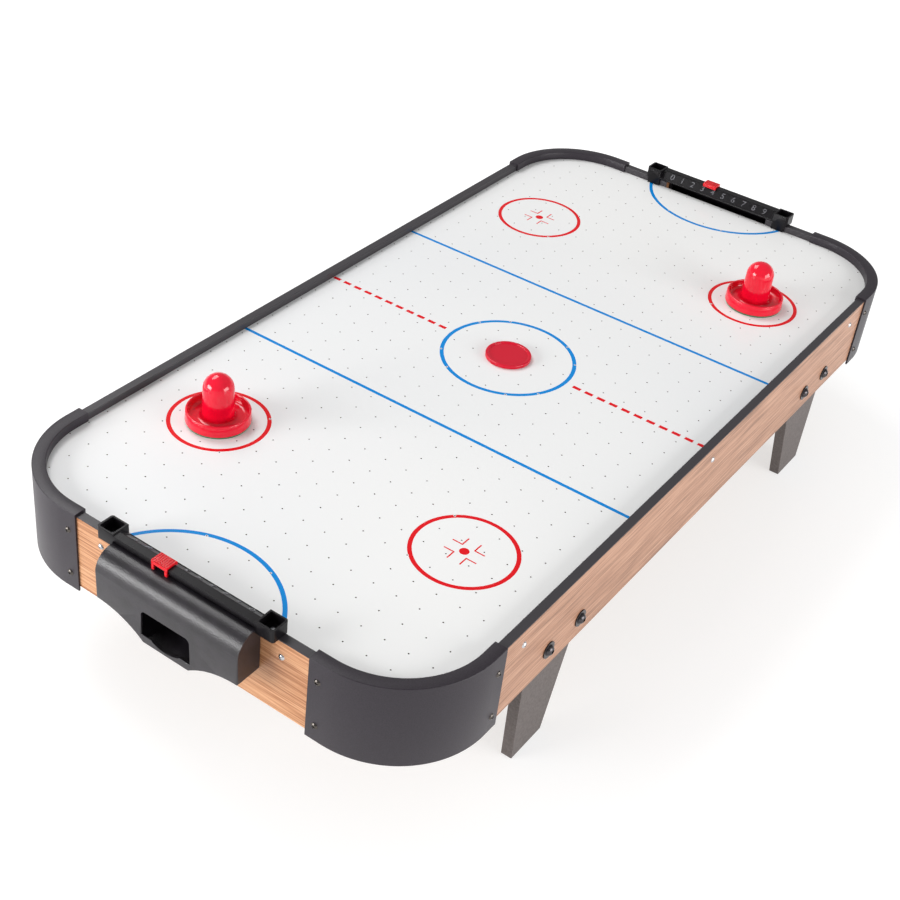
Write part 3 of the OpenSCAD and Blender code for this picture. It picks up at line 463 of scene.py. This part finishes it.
# ---- Goal boxes ----
# Injection-moulded ABS in black, hollow, with a puck window in front and a pocket behind;
# screwed on through the end boards. The mould's fine leather grain breaks the gloss into
# 1 mm cells, coarser than the real ones so that they show.

goal_abs, tree, shader, place = new_material("grained_black_abs", "#1F1C20", 0.34, Specular_IOR_Level=0.5)
cell = add(tree, "ShaderNodeTexVoronoi", Vector=(place, "Object"), Scale=1000.0)
cloud = add(tree, "ShaderNodeTexNoise", Vector=(place, "Object"), Scale=90.0, Detail=3.0)
add(tree, "ShaderNodeValToRGB", {"stops": [(0.35, "#1B181C"), (0.65, "#252127")]},
    into=(shader, "Base Color"), Fac=(cloud, "Fac"))
add(tree, "ShaderNodeBump", into=(shader, "Normal"), Height=(cell, "Distance"),
    Strength=0.7, Distance=0.16 * MM)
for end in ("near", "far"):
    eased("goal_box_" + end, "frame", goal_abs, 1.1, 3)

# ---- Score bars ----
# Injection-moulded in semi-gloss black, with a square cup at each end and raised numbers,
# 15 mm apart, on the slope that faces the field. Slight sink marks, 6 mm apart, ripple its
# gloss. The numbers are the same black, painted grey as a painted highlight on their edges.

bar_plastic, tree, shader, place = new_material(
    "semi_gloss_black_styrene", "#121013", 0.24, Specular_IOR_Level=0.2)
ripple_and_highlight = add(tree, "ShaderNodeTexNoise", Vector=(place, "Object"), Scale=160.0, Detail=2.0)
add(tree, "ShaderNodeMapRange", into=(shader, "Roughness"), Value=(ripple_and_highlight, "Fac"), To_Min=0.24, To_Max=0.36)
add(tree, "ShaderNodeBump", into=(shader, "Normal"), Height=(ripple_and_highlight, "Fac"), Strength=0.12, Distance=0.1 * MM)
# Painted highlight: the numbers are the bar's own black plastic, painted grey in paler and darker patches for
# the light their edges catch.
number_highlight_grey, tree, shader, place = new_material(
    "raised_numbers_painted_highlight", "#5A595E", 0.22, Specular_IOR_Level=0.6)
ripple_and_highlight = add(tree, "ShaderNodeTexNoise", Vector=(place, "Object"), Scale=300.0, Detail=2.0)
add(tree, "ShaderNodeValToRGB", {"stops": [(0.4, "#4E4D52"), (0.6, "#6A696E")]},
    into=(shader, "Base Color"), Fac=(ripple_and_highlight, "Fac"))

NUMBER_PITCH, NUMBER_HEIGHT, NUMBER_RELIEF, NUMBER_EDGE = 15 * MM, 11.6 * MM, 0.3 * MM, 0.08 * MM
NUMBER_SINK = 0.5 * MM  # how deep the numbers' mid-plane lies in the slope
SLOPE_RISE, SLOPE_RUN = 8.5 * MM, 11.526 * MM
bar_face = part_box("score_bar_far")[0].y
slope = Matrix.Rotation(math.atan2(SLOPE_RISE, SLOPE_RUN), 4, "X")
slope_middle = Matrix.Translation((0, bar_face + 5.76 * MM, field_high.z + 15.75 * MM))
for end, turn in (("near", math.pi), ("far", 0)):
    eased("score_bar_" + end, "frame", bar_plastic, 0.4)
    plate = Matrix.Rotation(turn, 4, "Z") @ slope_middle @ slope
    shape = bmesh.new()
    for value in range(10):
        digit = bpy.data.curves.new("number", "FONT")
        digit.body = str(value)
        digit.size, digit.extrude, digit.bevel_depth = NUMBER_HEIGHT, NUMBER_RELIEF, NUMBER_EDGE
        digit.align_x, digit.align_y = "CENTER", "CENTER"
        digit.resolution_u = 4
        holder = bpy.data.objects.new("number", digit)
        scene.collection.objects.link(holder)
        solid = bpy.data.meshes.new_from_object(holder)
        solid.transform(plate @ Matrix.Translation(((value - 4.5) * NUMBER_PITCH, 0, -NUMBER_SINK)))
        shape.from_mesh(solid)
        bpy.data.objects.remove(holder)
        bpy.data.meshes.remove(solid)
        bpy.data.curves.remove(digit)
    bmesh.ops.remove_doubles(shape, verts=shape.verts, dist=0.002 * MM)
    make_piece("score_numbers_" + end, shape, number_highlight_grey, "frame")

# ---- Score markers ----
# Small red saddles moulded in glossy styrene, clipped over the bar's back edge. The
# melt's flow shows as faint paler swirls, 11 mm across.

marker_red, tree, shader, place = new_material("glossy_red_styrene", "#DC1420", 0.22, Specular_IOR_Level=0.45)
swirl = add(tree, "ShaderNodeTexNoise", Vector=(place, "Object"), Scale=90.0, Detail=2.0)
add(tree, "ShaderNodeValToRGB", {"stops": [(0.35, "#D8121E"), (0.65, "#E41C28")]},
    into=(shader, "Base Color"), Fac=(swirl, "Fac"))
for end in ("near", "far"):
    eased("score_marker_" + end, end + "_marker", marker_red, 0.3)

# ---- Mallets ----
# Injection-moulded in gloss red: a dished base with a rolled rim, and a hollow domed
# knob in its middle. A felt pad is glued in below. The skin is smooth and bright, with
# only a slow waviness from the mould.

mallet_red, tree, shader, place = new_material(
    "gloss_red_polystyrene", "#E60C2E", 0.12, Specular_IOR_Level=0.5)
flow = add(tree, "ShaderNodeTexNoise", Vector=(place, "Object"), Scale=35.0, Detail=2.0)
add(tree, "ShaderNodeValToRGB", {"stops": [(0.35, "#E00A2B"), (0.65, "#EA0D31")]},
    into=(shader, "Base Color"), Fac=(flow, "Fac"))
add(tree, "ShaderNodeBump", into=(shader, "Normal"), Height=(flow, "Fac"), Strength=0.05, Distance=0.3 * MM)


def arc(cx, cz, radius, start, stop, steps):
    """Points along an arc, in mm, its angles in degrees from the radial axis."""
    angles = [math.radians(start + (stop - start) * i / steps) for i in range(steps + 1)]
    return [(cx + radius * math.cos(angle), cz + radius * math.sin(angle)) for angle in angles]


def turned(name, profile_mm, centre, body, surface, node):
    """A closed turned piece: the profile, in mm from the axis and up, spun once round."""
    shape = bmesh.new()
    line = [shape.verts.new((centre.x + r * MM, centre.y, centre.z + z * MM)) for r, z in profile_mm]
    edges = [shape.edges.new(pair) for pair in zip(line, line[1:])]
    bmesh.ops.spin(shape, geom=line + edges, cent=centre, axis=(0, 0, 1), angle=math.tau, steps=96,
                   use_merge=True)
    bmesh.ops.remove_doubles(shape, verts=shape.verts, dist=0.004 * MM)
    bmesh.ops.recalc_face_normals(shape, faces=shape.faces)
    for face in shape.faces:
        face.smooth = True
    crease_edges(shape, 35)
    make_piece(name, shape, surface, body, node)


# Underside and rolled rim, then the dish, then the knob's wall and dome.
mallet_profile = (
    [(0, 1.8), (32.4, 1.8)] + arc(32.4, 3.1, 1.3, -90, 0, 4) + arc(31.9, 13.2, 1.2, 0, 180, 8)
    + arc(26.3, 9.5, 4, 0, -90, 6) + arc(20.6, 9.5, 4, -90, -180, 6)
    + [(16.4, 14), (16.2, 24), (16.05, 34)] + arc(0, 39, 16, 0, 90, 16)
)
for end, body in (("near", "near_striker"), ("far", "far_striker")):
    low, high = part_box("mallet_" + end)
    centre = Vector(((low.x + high.x) / 2, (low.y + high.y) / 2, field_high.z))
    node = "mallet_" + end
    turned(node + "_moulding", mallet_profile, centre, body, mallet_red, node)

# ---- Mallet pads ----
# Needled green felt, 1.8 mm thick, cut round and glued under each mallet so that it
# glides. Its tufts are about 1 mm across and take the gloss away.

felt, tree, shader, place = new_material("needled_green_felt", "#2F6B46", 0.95, Sheen_Weight=0.4)
tuft = add(tree, "ShaderNodeTexNoise", Vector=(place, "Object"), Scale=900.0, Detail=4.0)
add(tree, "ShaderNodeValToRGB", {"stops": [(0.35, "#275A3B"), (0.65, "#3D7D56")]},
    into=(shader, "Base Color"), Fac=(tuft, "Fac"))
add(tree, "ShaderNodeBump", into=(shader, "Normal"), Height=(tuft, "Fac"), Strength=0.8, Distance=0.3 * MM)
for end in ("near", "far"):
    finish_node("mallet_pad_" + end, felt)

# ---- Puck ----
# Injection-moulded in gloss red, 50.8 mm across, with a raised rim round a flat sunk
# face. Play has scuffed it, so its gloss is uneven over 7 mm patches.

puck_red, tree, shader, place = new_material("gloss_red_puck_plastic", "#CE0429", 0.2, Specular_IOR_Level=0.4)
scuff = add(tree, "ShaderNodeTexNoise", Vector=(place, "Object"), Scale=140.0, Detail=5.0)
add(tree, "ShaderNodeMapRange", into=(shader, "Roughness"), Value=(scuff, "Fac"), To_Min=0.14, To_Max=0.3)

# Underside with its edge, the rim's outer wall and rounded top, then the sunk face. The close
# points beside both flat faces keep their shading flat.
puck_profile = (
    [(0, 0.5), (19.2, 0.5), (19.4, 0.5), (20.4, 0.02), (20.6, 0.02), (24.4, 0.02)]
    + arc(24.6, 0.82, 0.8, -90, 0, 4) + arc(24.4, 3.6, 1, 0, 90, 5) + arc(22.4, 4.1, 0.5, 90, 170, 4)
    + arc(21.4, 4.1, 0.5, -10, -90, 4) + [(21.2, 3.6), (20.9, 3.6), (0, 3.6)]
)
low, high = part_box("puck")
centre = Vector(((low.x + high.x) / 2, (low.y + high.y) / 2, low.z))
turned("puck_moulding", puck_profile, centre, "disc", puck_red, "puck")

# ---- Air chamber ----
# Bare fibreboard floor, battens and ribs, matt and mottled by fibres 4 mm long, closed at
# each end with a strip of open-cell foam, dark and dull with 1 mm pores.

bare_board, tree, shader, place = new_material("bare_fibreboard", "#9C7A56", 0.85)
fibre = add(tree, "ShaderNodeTexNoise", Vector=(place, "Object"), Scale=260.0, Detail=5.0, Roughness=0.7)
add(tree, "ShaderNodeValToRGB", {"stops": [(0.3, "#866643"), (0.7, "#AD8B66")]},
    into=(shader, "Base Color"), Fac=(fibre, "Fac"))
add(tree, "ShaderNodeBump", into=(shader, "Normal"), Height=(fibre, "Fac"), Strength=0.5, Distance=0.15 * MM)
for name in ("chamber_floor", "side_batten_right", "side_batten_left", "end_battens_near", "end_battens_far",
             "chamber_rib_right", "chamber_rib_left"):
    finish_node(name, bare_board)

foam, tree, shader, place = new_material("open_cell_foam", "#2A2A2C", 0.95)
pore = add(tree, "ShaderNodeTexVoronoi", Vector=(place, "Object"), Scale=900.0)
add(tree, "ShaderNodeBump", into=(shader, "Normal"), Height=(pore, "Distance"),
    Strength=0.9, Distance=0.5 * MM)
add(tree, "ShaderNodeValToRGB", {"stops": [(0.2, "#3A3A3D"), (0.8, "#1C1C1E")]},
    into=(shader, "Base Color"), Fac=(pore, "Distance"))
for name in ("air_seal_near", "air_seal_far"):
    finish_node(name, foam)

# ---- Blower ----
# Fan frame, grille and impeller in glass-filled nylon, matt black and faintly mottled by
# the glass, round a motor with a plain drawn aluminium can, ringed with fine draw lines;
# screwed up into the chamber floor.

fan_nylon, tree, shader, place = new_material("glass_filled_nylon", "#222224", 0.55)
glass = add(tree, "ShaderNodeTexNoise", Vector=(place, "Object"), Scale=700.0, Detail=3.0)
add(tree, "ShaderNodeValToRGB", {"stops": [(0.35, "#1B1B1D"), (0.65, "#2A2A2D")]},
    into=(shader, "Base Color"), Fac=(glass, "Fac"))
add(tree, "ShaderNodeBump", into=(shader, "Normal"), Height=(glass, "Fac"), Strength=0.3, Distance=0.08 * MM)
for name in ("blower_housing", "blower_grille", "blower_impeller"):
    finish_node(name, fan_nylon)

can, tree, shader, place = new_material("drawn_aluminium_can", "#B9BBBE", 0.32, Metallic=1.0)
draw = add(tree, "ShaderNodeMapping", Vector=(place, "Object"), Scale=[40, 40, 1500])
lines = add(tree, "ShaderNodeTexNoise", Vector=(draw, 0), Scale=1.0, Detail=2.0)
add(tree, "ShaderNodeBump", into=(shader, "Normal"), Height=(lines, "Fac"), Strength=0.2, Distance=0.05 * MM)
finish_node("blower_motor", can)

# ---- Switch, power inlet and lead ----
# A rocker switch and a barrel inlet in satin black nylon, snapped into the left board,
# with a gloss dark red rocker, and a flat two-core lead in dull black rubber on to the
# fan. Mould grain of 1 to 3 mm keeps their gloss from looking blank.

switch_nylon, tree, shader, place = new_material("satin_black_nylon", "#202022", 0.4)
fine = add(tree, "ShaderNodeTexNoise", Vector=(place, "Object"), Scale=800.0, Detail=2.0)
add(tree, "ShaderNodeBump", into=(shader, "Normal"), Height=(fine, "Fac"), Strength=0.2, Distance=0.05 * MM)
for name in ("switch_body", "power_jack"):
    finish_node(name, switch_nylon)

rocker_red, tree, shader, place = new_material("gloss_dark_red_nylon", "#8A1318", 0.25)
fine = add(tree, "ShaderNodeTexNoise", Vector=(place, "Object"), Scale=300.0, Detail=2.0)
add(tree, "ShaderNodeBump", into=(shader, "Normal"), Height=(fine, "Fac"), Strength=0.08, Distance=0.05 * MM)
eased("switch_rocker", "rocker", rocker_red, 0.3)

lead_rubber, tree, shader, place = new_material("black_lead_rubber", "#18181A", 0.6)
fine = add(tree, "ShaderNodeTexNoise", Vector=(place, "Object"), Scale=500.0, Detail=2.0)
add(tree, "ShaderNodeBump", into=(shader, "Normal"), Height=(fine, "Fac"), Strength=0.3, Distance=0.06 * MM)
finish_node("blower_lead", lead_rubber)

low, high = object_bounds()
